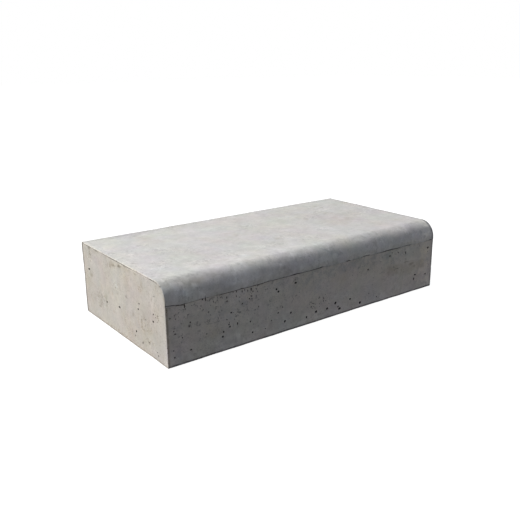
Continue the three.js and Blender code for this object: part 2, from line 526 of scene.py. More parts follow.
def holes_to_place():
    """Place, turn and half sizes of every blowhole that is placed one by one."""
    holes = [(Vector((x, FRONT / MM, z)), UPRIGHT_FRONT, w, h) for x, z, w, h in FRONT_HOLES]
    holes += [(Vector((LEFT / MM, y, z)), UPRIGHT_END, w, h) for y, z, w, h in END_HOLES]
    chance = random.Random(HOLE_SEED)
    for x, z, half_width, half_height, w, h, lean, count in FRONT_RUNS:
        for _ in range(count):
            place = Vector((
                x + half_width * chance.uniform(-1, 1),
                FRONT / MM,
                z + half_height * chance.uniform(-1, 1),
            ))
            turn = UPRIGHT_FRONT.to_matrix() @ Matrix.Rotation(
                math.radians(lean * chance.uniform(0.6, 1.4)), 3, "Z"
            )
            size = chance.uniform(0.6, 1.2)
            holes.append((place, turn.to_euler(), w * size, h * size))
    places = [place * MM for place, _, _, _ in holes]
    turns = [Vector(turn) for _, turn, _, _ in holes]
    halves = [Vector((w, h, HOLE_DEPTH * min(w, h))) * MM / 2 for _, _, w, h in holes]
    return places, turns, halves


def blowholes(tree, given):
    """Cuts the placed blowholes and the scattered ones out of the block."""
    # A few kinds of lumpy void, each about 1 in radius.
    place = geometry_of(tree, "InputPosition")
    kinds = []
    for kind in range(HOLE_KINDS):
        inputs = {"Segments": given["Sides"], "Rings": given["Rings"], "Radius": 1.0}
        ball = geometry_of(tree, "MeshUVSphere", inputs, "Mesh")
        lump = noise_of(tree, place, 1 / 0.9, detail=1.0, start=2.0 + kind)
        swollen = scaled(tree, place, fitted(tree, lump, 0.3, 0.7, 0.7, 1.25))
        void = geometry_of(tree, "SetPosition", {0: ball, "Position": swollen})
        kinds.append(geometry_of(tree, "GeometryToInstance", {0: void}))
    all_kinds = joined(tree, kinds)

    def voids_at(points, turn, size, seed):
        """One of the kinds at each point, sunk into the face."""
        put = geometry_of(tree, "InstanceOnPoints", {
            "Points": points, "Instance": all_kinds, "Pick Instance": True,
            "Instance Index": random_of(tree, 0, HOLE_KINDS - 1, seed, "INT"),
            "Rotation": turn, "Scale": size,
        })
        below = math_of(tree, "MULTIPLY", given["Sunk"], -1.0)
        inwards = add(tree, "ShaderNodeCombineXYZ", {"Z": below}).outputs[0]
        inputs = {0: put, "Translation": inwards, "Local Space": True}
        return geometry_of(tree, "TranslateInstances", inputs)

    def as_they_fall(number, share, smallest, largest, seed):
        """Voids scattered over the faces, most of them near the smallest size."""
        density = math_of(tree, "MULTIPLY", given[number], attribute(tree, share))
        seeded = math_of(tree, "ADD", given["Seed"], seed)
        inputs = {"Mesh": given["Geometry"], "Density": density, "Seed": seeded}
        spots = add(tree, "GeometryNodeDistributePointsOnFaces", inputs).outputs
        least, most = (0.75, 0.75, 0.7), (1.3, 1.3, 1.1)
        size = varied_size(tree, given[smallest], given[largest], 2.5, least, most, seeded)
        spin = random_of(tree, 0.0, math.tau, seeded)
        about = add(tree, "ShaderNodeCombineXYZ", {"Z": spin}).outputs[0]
        inputs = {"Rotation": spots["Rotation"], "Rotate By": about}
        turn = add(tree, "FunctionNodeRotateRotation", inputs, rotation_space="LOCAL")
        return voids_at(spots["Points"], turn.outputs[0], size, seeded)

    laid = laid_on(tree, given["Geometry"], followed(tree, given["Placed holes"], "MeshToPoints"))
    turn, half = [attribute(tree, name, "FLOAT_VECTOR") for name in ("turn", "half")]
    voids = joined(tree, [
        voids_at(laid, turn, half, given["Seed"]),
        as_they_fall("Small holes", "small_holes", "Smallest", "Small to", 1),
        as_they_fall("Large holes", "large_holes", "Large from", "Largest", 2),
    ])
    return cut_out(tree, given["Geometry"], realized(tree, voids))


for column, name in enumerate(("small_holes", "large_holes")):
    shares = []
    for face in kerb.data.polygons:
        share = 0.0
        for outwards, face_shares in HOLE_SHARES.items():
            if face.normal.dot(outwards) > 0.99:
                share = face_shares[column]
        if face.center.y < FRONT + MM and face.center.z > JOINT_Z:
            share = 0.0
        shares.append(share)
    kerb.data.attributes.new(name, "FLOAT", "FACE").data.foreach_set("value", shares)

places, turns, halves = holes_to_place()
placed_holes = guide("placed_holes", [[place] for place in places], {"turn": turns, "half": halves})
shape_by(blowholes, {
    "Placed holes": placed_holes,
    "Sides": HOLE_SIDES,
    "Rings": HOLE_RINGS,
    "Sunk": HOLE_SUNK,
    "Small holes": 420.0,  # to the square metre
    "Smallest": 0.45 * MM,
    "Small to": 1.2 * MM,
    "Large holes": 300.0,
    "Large from": 1.2 * MM,
    "Largest": 3.4 * MM,
    "Seed": HOLE_SEED,
})

# The knocked arrises. Handling chips small flakes off the edges, and a few larger ones off the
# corners and the nose.

CHIP_SPACING = 13 * MM
CHIP_ROUGHNESS = 2.6 * MM  # how far the skin of a flake is pushed about
CHIP_SEED = 5

# The larger chips, in mm: the place, and half sizes along x, y and z.
LARGE_CHIPS = (
    (-500, -229, 211, 3.2, 3.0, 2.6), (-500, -215, 218, 2.4, 3.6, 1.8), (-500, 250, 220, 3.5, 3.5, 3.0),
    (-500, -250, 0, 3.5, 3.0, 4.0), (500, -250, 0, 4.0, 3.0, 3.0), (500, 250, 220, 4.0, 4.0, 3.5),
    (-500, 152, 220, 2.2, 3.4, 1.6), (-500, 44, 220, 2.2, 3.0, 1.6), (-500, 96, 0, 3.0, 6.0, 2.6),
    (-500, -60, 0, 2.4, 4.0, 2.4), (110, -250, 162, 6.5, 1.6, 2.2), (-447, -250, 158, 1.6, 2.2, 6.0),
    (-386, -250, 164, 1.4, 1.8, 5.0), (-260, 250, 220, 7.0, 3.0, 3.0), (310, 250, 220, 5.0, 2.5, 2.5),
    (180, 250, 0, 8.0, 3.0, 3.5), (500, 60, 220, 2.5, 6.0, 2.5), (500, -120, 0, 3.0, 7.0, 3.5),
)


def arris_lines():
    """The edges that get knocked: round both ends, and along the back and the bed."""
    worn = 0.3  # an arris is worn from its middle, this share of its size inside both faces
    outline = section_outline()
    ends = drawn_in(outline, worn * END_ARRIS)
    lines = []
    for x in (LEFT + worn * END_ARRIS, RIGHT - worn * END_ARRIS):
        lines.append([Vector((x, *point)) for point in ends + ends[:1]])
    for y, z in (
        (BACK - worn * BACK_ARRIS, TOP - worn * BACK_ARRIS),
        (BACK - worn * BED_ARRIS, BED + worn * BED_ARRIS),
        (FRONT + worn * BED_ARRIS, BED + worn * BED_ARRIS),
    ):
        lines.append([Vector((x, y, z)) for x in (LEFT + END_ARRIS, RIGHT - END_ARRIS)])
    return lines


def knocked_arrises(tree, given):
    """Breaks small flakes off the arrises, here and there, and the large chips off their places."""
    flake = geometry_of(tree, "MeshIcoSphere", {"Radius": 1.0, "Subdivisions": 2}, "Mesh")
    inputs = {0: followed(tree, given["Arrises"], "MeshToCurve"), "Length": given["Spacing"]}
    even = geometry_of(tree, "ResampleCurve", inputs, mode="LENGTH")
    smallest, largest, seed = given["Smallest"], given["Largest"], given["Seed"]
    inputs = {"Probability": given["Share"], "Seed": seed}
    struck = add(tree, "FunctionNodeRandomValue", inputs, data_type="BOOLEAN").outputs[3]
    size = varied_size(tree, smallest, largest, 3.0, (0.6, 0.6, 0.6), (1.6, 1.6, 1.6), seed)
    small = geometry_of(tree, "InstanceOnPoints", {
        "Points": even, "Selection": struck, "Instance": flake, "Scale": size,
    })
    large = geometry_of(tree, "InstanceOnPoints", {
        "Points": followed(tree, given["Large chips"], "MeshToPoints"),
        "Instance": flake,
        "Scale": attribute(tree, "half", "FLOAT_VECTOR"),
    })
    flakes = realized(tree, joined(tree, [small, large]))
    # The flakes are broken, not round.
    inputs = {"Vector": geometry_of(tree, "InputPosition"), "Scale": 420.0, "Detail": 1.0}
    rough = add(tree, "ShaderNodeTexNoise", inputs).outputs["Color"]
    shift = scaled(tree, vector_of(tree, "SUBTRACT", rough, (0.5, 0.5, 0.5)), CHIP_ROUGHNESS)
    broken = geometry_of(tree, "SetPosition", {0: flakes, "Offset": shift})
    return cut_out(tree, given["Geometry"], broken)


arrises = guide("arris_lines", arris_lines(), {})
large_chips = guide(
    "large_chips",
    [[Vector(chip[:3]) * MM] for chip in LARGE_CHIPS],
    {"half": [Vector(chip[3:]) * MM for chip in LARGE_CHIPS]},
)
shape_by(knocked_arrises, {
    "Arrises": arrises,
    "Large chips": large_chips,
    "Spacing": CHIP_SPACING,
    "Share": 0.3,
    "Smallest": 0.7 * MM,
    "Largest": 2.4 * MM,
    "Seed": CHIP_SEED,
})

# The finished stone as one plain mesh. A bubble that stays wholly under the skin is left out,
# since nothing of it shows. The rims of the hollows are sharp, and the rest is smooth.

SHARP_DEGREES = 35
WELD = 0.005 * MM
evaluated = kerb.evaluated_get(bpy.context.evaluated_depsgraph_get())
finished = bpy.data.meshes.new_from_object(evaluated)
kerb.modifiers.clear()
cast, kerb.data = kerb.data, finished
bpy.data.meshes.remove(cast)
for helper in (grooves, placed_holes, arrises, large_chips):
    bpy.data.objects.remove(helper)

form = bmesh.new()
form.from_mesh(finished)
skin = {max(form.faces, key=lambda face: face.calc_area())}
to_follow = list(skin)
while to_follow:
    face = to_follow.pop()
    beyond = {other for edge in face.edges for other in edge.link_faces} - skin
    skin |= beyond
    to_follow.extend(beyond)
buried = [face for face in form.faces if face not in skin]
bmesh.ops.delete(form, geom=buried, context="FACES")
bmesh.ops.remove_doubles(form, verts=form.verts, dist=WELD)

hollow = form.faces.layers.float["hollow"]
for face in form.faces:
    face.smooth = True
for edge in form.edges:
    first, second = edge.link_faces
    is_rim = (first[hollow] > 0.5) != (second[hollow] > 0.5)
    edge.smooth = not is_rim and edge.calc_face_angle() < math.radians(SHARP_DEGREES)
form.to_mesh(finished)
form.free()

# The look of the concrete. The faces cast against the shutters are warm and streaked, the pan's
# are cooler and closer, and the bed is open. Dust and painted shade darken the hollows, knocks and
# a painted highlight lighten the arrises, and painted light and shade lie along the edges and the nose.

SHUTTERED = (0.610, 0.566, 0.504, 1)
PAN_CAST = (0.584, 0.568, 0.543, 1)
OPEN_BED = (0.500, 0.470, 0.420, 1)
ARRIS_FADE = 2.2 * MM
concrete.use_nodes = True
tree = concrete.node_tree
shader = tree.nodes["Principled BSDF"]
place = add(tree, "ShaderNodeTexCoord").outputs["Object"]
x, y, z = add(tree, "ShaderNodeSeparateXYZ", {0: place}).outputs


def mixed(tree, share, first, second, kind="MIX"):
    """Two colours mixed or, by another kind, laid over each other."""
    inputs = {0: share, 6: first, 7: second}
    return add(tree, "ShaderNodeMix", inputs, data_type="RGBA", blend_type=kind).outputs[2]


def multiply_in(tree, share, colour, effect):
    """A colour that is multiplied by another one, as far as its share goes."""
    return mixed(tree, share, colour, (*effect, 1), kind="MULTIPLY")


def drawn_out(stretch, length, **settings):
    """Noise over the stone that is drawn out along x, y and z."""
    scale = [1 / factor for factor in stretch]
    squashed = add(tree, "ShaderNodeMapping", {"Vector": place, "Scale": scale}).outputs[0]
    return noise_of(tree, squashed, length, **settings)


def product(tree, *values):
    """All the values multiplied together."""
    result = values[0]
    for value in values[1:]:
        result = math_of(tree, "MULTIPLY", result, value)
    return result


def rest_of(tree, share):
    """What a share leaves of the whole."""
    return math_of(tree, "SUBTRACT", 1.0, share)


def apart(tree, first, second):
    """How far two values lie apart."""
    return math_of(tree, "ABSOLUTE", math_of(tree, "SUBTRACT", first, second))


def below_the_faces():
    """A group that gives how deep a point lies below each face of the stone, in metres."""
    group = bpy.data.node_groups.new("below_the_faces", "ShaderNodeTree")
    names = ("End", "Front or top", "Back", "Bed", "Least", "Arris")
    for name in names:
        group.interface.new_socket(name, in_out="OUTPUT", socket_type="NodeSocketFloat")
    here = add(group, "ShaderNodeTexCoord").outputs["Object"]
    x, y, z = add(group, "ShaderNodeSeparateXYZ", {0: here}).outputs
    end = math_of(group, "SUBTRACT", RIGHT, math_of(group, "ABSOLUTE", x))
    ahead = math_of(group, "MAXIMUM", math_of(group, "SUBTRACT", NOSE_Y, y), 0.0)
    above = math_of(group, "MAXIMUM", math_of(group, "SUBTRACT", z, NOSE_Z), 0.0)
    squares = math_of(group, "ADD", product(group, ahead, ahead), product(group, above, above))
    front = math_of(group, "SUBTRACT", NOSE_RADIUS, math_of(group, "SQRT", squares))
    back = math_of(group, "SUBTRACT", BACK, y)
    bed = math_of(group, "SUBTRACT", z, BED)
    least = end
    near = -1.0  # one depth is nothing on a face, and two are small near an arris
    for depth in (end, front, back, bed):
        least = math_of(group, "MINIMUM", least, depth)
        fade = math_of(group, "EXPONENT", math_of(group, "MULTIPLY", depth, -1 / ARRIS_FADE))
        near = math_of(group, "ADD", near, fade)
    add(group, "NodeGroupOutput", dict(zip(names, (end, front, back, bed, least, near))))
    return group


def soft_mark():
    """A group that gives the share of a soft-edged mark: 1 in its core, 0 outside its reach."""
    group = bpy.data.node_groups.new("soft_mark", "ShaderNodeTree")
    for name in ("Here", "Middle", "Reach"):
        group.interface.new_socket(name, in_out="INPUT", socket_type="NodeSocketVector")
    group.interface.new_socket("Core", in_out="INPUT", socket_type="NodeSocketFloat")
    group.interface.new_socket("Share", in_out="OUTPUT", socket_type="NodeSocketFloat")
    given = group.nodes.new("NodeGroupInput").outputs
    away = vector_of(group, "SUBTRACT", given["Here"], given["Middle"])
    in_reaches = vector_of(group, "DIVIDE", away, given["Reach"])
    distance = add(group, "ShaderNodeVectorMath", {0: in_reaches}, operation="LENGTH")
    share = fitted(group, distance.outputs["Value"], 1.0, given["Core"])
    add(group, "NodeGroupOutput", {"Share": share})
    return group


depths = add(tree, "ShaderNodeGroup", node_tree=below_the_faces()).outputs
off_end = fitted(tree, depths["End"], 1.0 * MM, 2.0 * MM)
on_end = rest_of(tree, off_end)
off_back = fitted(tree, depths["Back"], 1.5 * MM, 3.0 * MM)
over_joint = fitted(tree, z, JOINT_Z - 0.5 * MM, JOINT_Z + 0.5 * MM)
in_pan = product(tree, over_joint, off_end, off_back)
on_shutter = rest_of(tree, in_pan)
on_bed = fitted(tree, depths["Bed"], 2.2 * MM, 0.8 * MM)
on_nose = product(tree, in_pan, fitted(tree, y, NOSE_Y + 12 * MM, NOSE_Y - 8 * MM))
on_front = product(tree, on_shutter, fitted(tree, y, FRONT + 4 * MM, FRONT + 2 * MM), off_end)
arris = math_of(tree, "MINIMUM", depths["Arris"], 1.0)

colour = mixed(tree, in_pan, SHUTTERED, PAN_CAST)
colour = mixed(tree, on_bed, colour, OPEN_BED)

# Clouds, blotches and specks in the grey: how long they are, how strong they are on the pan's
# faces, and how much stronger on the shuttered ones.
MOTTLING = (
    (0.150, 0.12, 0.08),
    (0.045, 0.30, -0.02),
    (0.014, 0.28, -0.04),
    (0.0050, 0.20, 0.00),
)
tone = 1.0
for start, (length, strength, more) in enumerate(MOTTLING):
    lumps = math_of(tree, "SUBTRACT", noise_of(tree, place, length, start=start * 3.1), 0.5)
    amount = math_of(tree, "MULTIPLY_ADD", on_shutter, more, strength)
    tone = math_of(tree, "MULTIPLY_ADD", lumps, amount, tone)

# A faint drift of pink, green and buff in the cement.
DRIFTS = (
    # length of a drift, how strong it is in red, green and blue
    (0.090, (0.100, 0.090, 0.155)),
    (0.030, (0.038, 0.036, 0.055)),
)
for start, (length, strength) in enumerate(DRIFTS):
    drift = noise_of(tree, place, length, detail=1.0, start=7.0 + start, output="Color")
    least = [1 - value / 2 for value in strength]
    shift = vector_of(tree, "MULTIPLY_ADD", drift, strength, least)
    colour = mixed(tree, 1.0, colour, shift, kind="MULTIPLY")

grey = add(tree, "ShaderNodeCombineColor", {0: tone, 1: tone, 2: tone}).outputs[0]
colour = mixed(tree, 1.0, colour, grey, kind="MULTIPLY")

# Smears with fairly sharp edges: where they lie, how far they are drawn out along x, y and z,
# their length, the noise that they start and end at, how widely spaced their patches are, and
# the colour that they multiply by.
left_part = fitted(tree, x, -120 * MM, -300 * MM)
off_front = product(tree, on_shutter, rest_of(tree, on_front))
scrawl = product(tree, left_part, on_front)  # where the fine marks below the joint lie
off_scrawl = product(tree, on_shutter, rest_of(tree, scrawl))
SMEARS = (
    (off_front, (1, 1, 2.2), 0.009, 0.57, 0.62, 0.060, (0.91, 0.885, 0.850)),
    (on_front, (1, 1, 2.2), 0.007, 0.58, 0.63, 0.060, (0.91, 0.910, 0.912)),
    (off_front, (1, 1, 1.6), 0.0050, 0.60, 0.64, 0.045, (0.82, 0.800, 0.770)),
    (on_shutter, (1, 1, 2.5), 0.013, 0.56, 0.66, 0.080, (1.05, 1.050, 1.060)),
    (on_shutter, (1, 1, 1.0), 0.0030, 0.60, 0.67, 0.040, (1.17, 1.160, 1.140)),
    (off_scrawl, (1, 1, 1.0), 0.0026, 0.62, 0.68, 0.050, (0.78, 0.765, 0.745)),
    (off_front, (1, 1.7, 1), 0.0040, 0.57, 0.62, 0.055, (0.82, 0.800, 0.775)),
    (off_front, (1, 1.7, 1), 0.0040, 0.58, 0.63, 0.050, (1.12, 1.115, 1.100)),
    (on_front, (1.4, 1, 1), 0.0030, 0.57, 0.62, 0.045, (0.80, 0.800, 0.800)),
    (on_front, (1.4, 1, 1), 0.0032, 0.60, 0.65, 0.050, (1.15, 1.150, 1.140)),
    (in_pan, (2.2, 1, 1), 0.0060, 0.57, 0.64, 0.060, (0.900, 0.893, 0.885)),
    (in_pan, (2.2, 1, 1), 0.0060, 0.57, 0.64, 0.050, (1.075, 1.075, 1.070)),
    (on_nose, (1, 1.5, 1.5), 0.018, 0.52, 0.62, 0.060, (1.140, 1.150, 1.160)),
    (on_nose, (1, 1.3, 1.3), 0.012, 0.53, 0.60, 0.050, (0.860, 0.860, 0.855)),
    (on_nose, (1, 1.0, 1.0), 0.0040, 0.58, 0.64, 0.050, (1.200, 1.220, 1.240)),
)
for start, (where, drawn, length, low, high, spacing, effect) in enumerate(SMEARS):
    lumps = drawn_out(drawn, length, detail=3.0, roughness=0.6, start=20.0 + start)
    patches = fitted(tree, noise_of(tree, place, spacing, start=90.0 + start), 0.44, 0.56)
    share = product(tree, fitted(tree, lumps, low, high), patches, where)
    colour = multiply_in(tree, share, colour, effect)

# Fine dark marks below the mould joint, mostly on the left part of the front: they follow the
# lines on which a noise crosses its middle value, and so wander and break off.
veins = noise_of(tree, place, 0.0130, detail=3.0, roughness=0.6, start=33.0)
patches = noise_of(tree, place, 0.018, detail=1.0, start=34.0)
spread = math_of(tree, "MULTIPLY_ADD", left_part, -0.085, 0.64)
broken = fitted(tree, math_of(tree, "SUBTRACT", patches, spread), -0.01, 0.02)
high_up = fitted(tree, z, 45 * MM, 100 * MM, 0.25, 1.0)
share = product(tree, fitted(tree, apart(tree, veins, 0.5), 0.032, 0.014), broken, high_up, on_front)
colour = multiply_in(tree, share, colour, (0.54, 0.535, 0.54))

TINTS = {"plain": (1.00, 1.00, 1.00), "warm": (1.02, 1.00, 0.96), "cool": (0.98, 1.00, 1.02)}
# Stains and painted light and shade by tint and face, in mm: the two places and the two reaches
# along the face, x before y before z, and the percent of the light that they leave. Those of the
# nose, and the few that are as long as the stone or turn a corner, have all three places and reaches.
# On the nose most are painted light and shade, which soften its turn from light to shade, and two
# bands as long as the stone paint shade over the upper front and light along its foot.
STAINS_AND_PAINTED_LIGHT = {
    "plain": {
        "top": (
            (184, -128, 115, 66, 110), (387, -119, 62, 50, 95), (-226, -143, 110, 50, 105),
            (-335, -7, 80, 80, 95), (-120, -176, 520, 60, 110), (-450, -165, 70, 50, 105),
            (-487, -8, 40, 300, 105), (-365, 223, 110, 26, 90), (388, 102, 54, 46, 105),
            (68, 36, 80, 50, 105), (-300, 246, 260, 34, 90), (-320, 235, 300, 90, 90),
            (330, 230, 260, 60, 105), (-190, -52, 80, 50, 105), (412, 24, 60, 90, 105),
        ),
        "front": (
            (-283, 7, 130, 45, 110), (-25, 6, 100, 36, 110), (-431, 119, 24, 34, 90), (-480, 80, 30, 90, 85),
            (-240, 38, 150, 50, 110), (-150, 56, 80, 26, 110), (-143, 140, 30, 18, 90),
            (-354, 89, 40, 3.2, 60), (199, 122, 34, 34, 90), (365, 137, 10, 18, 85), (395, 52, 34, 24, 115),
        ),
        "left end": (
            (55, 74, 70, 40, 105), (-185, 146, 28, 40, 115), (-64, 165, 30, 30, 110), (191, 148, 28, 40, 90),
            (-3, 11, 300, 24, 105), (24, 95, 90, 26, 110), (-170, 176, 50, 60, 110), (-40, 150, 60, 30, 105),
            (-243, 91, 8, 80, 105),
        ),
        "nose": (
            # Painted shade on the nose's upper curve and painted light on its lower curve, as long as the
            # stone; most marks below do the same in places.
            (0, -221, 215, 2000, 32, 32, 90), (0, -249, 184, 2000, 20, 22, 105),
            (-412, -222, 214, 120, 32, 30, 85), (-412, -207, 220, 95, 16, 14, 85),
            (-477, -240, 202, 18, 14, 12, 85), (-264, -248, 188, 80, 16, 22, 130),
            (44, -248, 188, 80, 14, 16, 120), (144, -222, 213, 34, 22, 20, 105),
            (226, -248, 189, 34, 14, 14, 115), (304, -248, 184, 50, 14, 18, 105),
            (405, -230, 208, 34, 26, 26, 85), (484, -222, 210, 34, 34, 34, 130),
            (-426, -240, 198, 36, 20, 22, 140), (-85, -218, 213, 60, 20, 16, 90),
            (-100, -235, 205, 50, 16, 14, 90), (-375, -243, 196, 80, 12, 12, 110),
            (120, -243, 196, 400, 12, 12, 105),
        ),
    },
    "warm": {
        "top": (
            (285, -15, 100, 100, 90), (317, 59, 34, 34, 90), (-95, 29, 62, 60, 95), (172, 150, 95, 66, 95),
            (-335, 161, 50, 60, 95), (-459, 140, 40, 70, 105), (190, 78, 110, 50, 105),
            (-495, 205, 9, 80, 115),
        ),
        "front": (
            (300, 88, 36, 24, 85), (-370, 64, 34, 28, 95), (94, 113, 90, 38, 95), (452, 66, 52, 80, 125),
            (462, 122, 36, 60, 110), (480, 20, 34, 30, 115), (466, 138, 48, 40, 125), (197, 118, 7, 7, 70),
        ),
        "left end": (
            (-62, 61, 130, 56, 105), (-163, 76, 60, 52, 95), (-44, 171, 34, 48, 95), (229, 108, 18, 120, 95),
            (118, 102, 44, 44, 105), (140, 68, 28, 44, 80), (99, 81, 13, 36, 80), (-120, 85, 9, 24, 75),
            (-70, 92, 9, 14, 75), (193, 200, 13, 28, 80), (196, 130, 14, 17, 80), (157, 209, 34, 11, 85),
            (45, 200, 28, 16, 85), (0, 206, 20, 12, 85), (-32, 206, 60, 9, 90), (-119, 177, 22, 22, 95),
        ),
        "nose": (
            (-397, -232, 203, 36, 18, 16, 110), (-127, -249, 182, 36, 10, 24, 75),
            (373, -226, 210, 26, 22, 18, 105), (435, -247, 188, 66, 18, 26, 130),
            (468, -248, 178, 30, 12, 24, 125), (400, -250, 172, 70, 12, 18, 110),
            (0, -251, 168, 2000, 14, 16, 90), (490, -240, 196, 34, 34, 40, 130),
            (-500, 250, 218, 12, 12, 16, 35),
        ),
    },
    "cool": {
        "top": (
            (-290, -165, 130, 60, 105),
        ),
        "front": (
            (-279, 146, 70, 34, 110), (-467, 34, 26, 60, 80), (-467, 112, 34, 34, 90),
            (-335, 112, 150, 34, 90), (290, 132, 50, 44, 85), (320, 148, 80, 24, 90), (88, 60, 90, 24, 110),
            (60, 150, 300, 30, 85), (-262, 152, 30, 16, 85), (-293, 93, 66, 26, 95), (-266, 120, 24, 14, 80),
            (-65, 119, 110, 46, 90), (-6, 111, 30, 46, 90), (204, 150, 140, 30, 90),
        ),
        "left end": (
            (30, 149, 26, 26, 105), (-4, 198, 44, 18, 90),
        ),
        "nose": (
            (-463, -236, 198, 24, 26, 20, 120), (-441, -246, 186, 12, 16, 10, 120),
            (-259, -228, 207, 56, 28, 28, 115), (-189, -228, 203, 30, 22, 24, 110),
            (-155, -234, 205, 76, 22, 20, 70), (-66, -238, 202, 60, 20, 16, 80),
            (60, -235, 204, 56, 18, 18, 75), (209, -222, 212, 40, 26, 24, 105),
            (258, -236, 203, 60, 18, 14, 80), (-222, -233, 207, 58, 14, 12, 90),
            # The bands as long as the stone here are painted shade over the upper front and painted light
            # along its foot.
            (32, -235, 205, 44, 16, 14, 85), (0, -250, 165, 2000, 30, 90, 90),
            (-100, -250, 0, 2000, 30, 66, 125),
        ),
    },
}
# Spots in the same way, and a band of painted light along the foot of the front. Their edges are harder and
# their strength is even.
SPOTS_AND_PAINTED_LIGHT = {
    "plain": {
        "top": (
            (303, 111, 10, 9, 90), (393, -29, 13, 11, 105), (420, 11, 11, 10, 105), (-10, 68, 11, 10, 90),
            (67, -152, 16, 11, 95), (-433, -105, 12, 10, 90), (-340, 25, 10, 10, 105), (485, 51, 11, 15, 90),
        ),
        "front": (
            # The band as long as the front, at its foot, is painted light.
            (398, 114, 36, 8, 110), (0, 13, 520, 8, 105),
        ),
    },
    "warm": {
        "top": (
            (363, 148, 16, 14, 85), (347, 171, 18, 16, 90), (200, 41, 14, 11, 90), (-23, -85, 14, 11, 90),
            (487, 158, 13, 18, 90),
        ),
        "front": (
            (310, 99, 62, 28, 85), (375, 88, 84, 32, 90), (443, 88, 30, 28, 80), (372, 109, 17, 4, 75),
            (396, 98, 19, 5, 75), (411, 87, 9, 6, 75),
        ),
        "left end": (
            (195, 212, 13, 5, 65), (191, 196, 9, 4, 70), (141, 214, 19, 4, 60), (55, 192, 7, 8, 75),
            (34, 198, 11, 4, 70), (0, 205, 14, 5, 60), (-39, 212, 14, 3, 75), (-96, 210, 11, 4, 80),
            (-36, 128, 7, 4, 75), (146, 48, 11, 4, 75), (96, 77, 12, 4, 75), (-154, 38, 9, 6, 75),
            (191, 130, 13, 10, 85), (212, 117, 8, 4, 80),
        ),
    },
    "cool": {
        "left end": (
            (23, 144, 10, 9, 110),
        ),
    },
}
FLAT_FACES = {"left end": (0, LEFT), "front": (1, FRONT), "top": (2, TOP)}  # its axis and level
MARK_DEPTH = 20 * MM  # how far a mark on a flat face reaches through it
WIDE_MARK = 18 * MM  # a mark with this reach or more has a more ragged outline
WIDE_STRAY, NARROW_STRAY = 0.060, 0.010  # how far the outlines stray, in metres
SOFT_MARK_CORE, SPOT_CORE = 0.10, 0.30  # the share of a mark's reach where it is at its fullest


def in_space(marks):
    """The middle and reach of each mark along x, y and z, in metres, and its percent."""
    for face, rows in marks.items():
        axes = 2 if face in FLAT_FACES else 3
        for row in rows:
            middle, reach = [
                [value * MM for value in row[start:start + axes]] for start in (0, axes)
            ]
            if face in FLAT_FACES:
                axis, level = FLAT_FACES[face]
                middle.insert(axis, level)
                reach.insert(axis, MARK_DEPTH)
            yield middle, reach, row[2 * axes:]


def mark_share(here, middle, reach, core):
    """The share of one mark at each point of the stone."""
    inputs = {"Here": here, "Middle": middle, "Reach": reach, "Core": core}
    return add(tree, "ShaderNodeGroup", inputs, node_tree=soft_mark_group).outputs[0]


wander = add(tree, "ShaderNodeTexNoise", {"Vector": place, "Scale": 45.0, "Detail": 3.0})
centred = vector_of(tree, "SUBTRACT", wander.outputs["Color"], (0.5, 0.5, 0.5))
astray = vector_of(tree, "MULTIPLY_ADD", centred, (WIDE_STRAY,) * 3, place)
near_by = vector_of(tree, "MULTIPLY_ADD", centred, (NARROW_STRAY,) * 3, place)
blotches = fitted(tree, noise_of(tree, place, 0.016, detail=3.0, start=80.0), 0.35, 0.60, 0.35, 1.0)
soft_mark_group = soft_mark()
for tints, core, evenness in ((STAINS_AND_PAINTED_LIGHT, SOFT_MARK_CORE, blotches), (SPOTS_AND_PAINTED_LIGHT, SPOT_CORE, 1.0)):
    for tint, marks in tints.items():
        for middle, reach, (percent,) in in_space(marks):
            here = astray if min(reach) >= WIDE_MARK else near_by
            share = math_of(tree, "MULTIPLY", mark_share(here, middle, reach, core), evenness)
            colour = multiply_in(tree, share, colour, [percent / 100 * part for part in TINTS[tint]])

# Scuffed places in the same way, without a percent. There the skin is marked light and dark.
SCUFFS = {
    "top": (
        (-385, 90, 50, 40), (-355, 15, 80, 60), (-405, -75, 60, 50), (-440, 45, 40, 70), (-300, -30, 60, 50),
        (-230, -125, 50, 50), (-330, -140, 80, 40), (-440, -120, 50, 40), (-5, 90, 60, 60), (0, -90, 90, 40),
        (60, -145, 80, 40), (-90, -125, 80, 30), (345, 150, 80, 70), (305, 100, 60, 60), (225, 55, 80, 50),
        (400, 0, 80, 70), (160, -90, 40, 30), (480, 60, 36, 260), (-487, 0, 34, 330), (0, 240, 900, 24),
    ),
    "left end": (
        (190, 190, 22, 44), (135, 214, 50, 12), (40, 196, 44, 20), (-10, 208, 60, 12), (130, 70, 64, 44),
        (30, 138, 44, 26), (-130, 80, 60, 40), (-160, 40, 44, 26), (-205, 125, 30, 26), (-120, 178, 34, 22),
        (-40, 34, 50, 14), (0, 6, 300, 14),
    ),
}
SCUFF_MARKS = (
    # where, how far a mark is drawn out along x, y and z, its length, the noise that it starts
    # and ends at, its colour
    (in_pan, (1, 1, 1), 0.0130, 0.56, 0.62, (0.860, 0.855, 0.850)),
    (in_pan, (1, 1, 1), 0.0120, 0.57, 0.63, (1.120, 1.115, 1.105)),
    (in_pan, (1, 1, 1), 0.0060, 0.57, 0.62, (0.860, 0.855, 0.850)),
    (in_pan, (1, 1, 1), 0.0050, 0.58, 0.63, (1.160, 1.155, 1.140)),
    (off_front, (1, 1.7, 1), 0.0052, 0.55, 0.59, (0.800, 0.765, 0.720)),
    (off_front, (1, 1.7, 1), 0.0048, 0.57, 0.61, (1.150, 1.145, 1.120)),
)
scuffed = 0.0
for middle, reach, _ in in_space(SCUFFS):
    scuffed = math_of(tree, "MAXIMUM", mark_share(near_by, middle, reach, SOFT_MARK_CORE), scuffed)
for start, (where, drawn, length, low, high, effect) in enumerate(SCUFF_MARKS):
    marks = drawn_out(drawn, length, detail=2.0, start=70.0 + start)
    share = product(tree, fitted(tree, marks, low, high), scuffed, where)
    colour = multiply_in(tree, share, colour, effect)

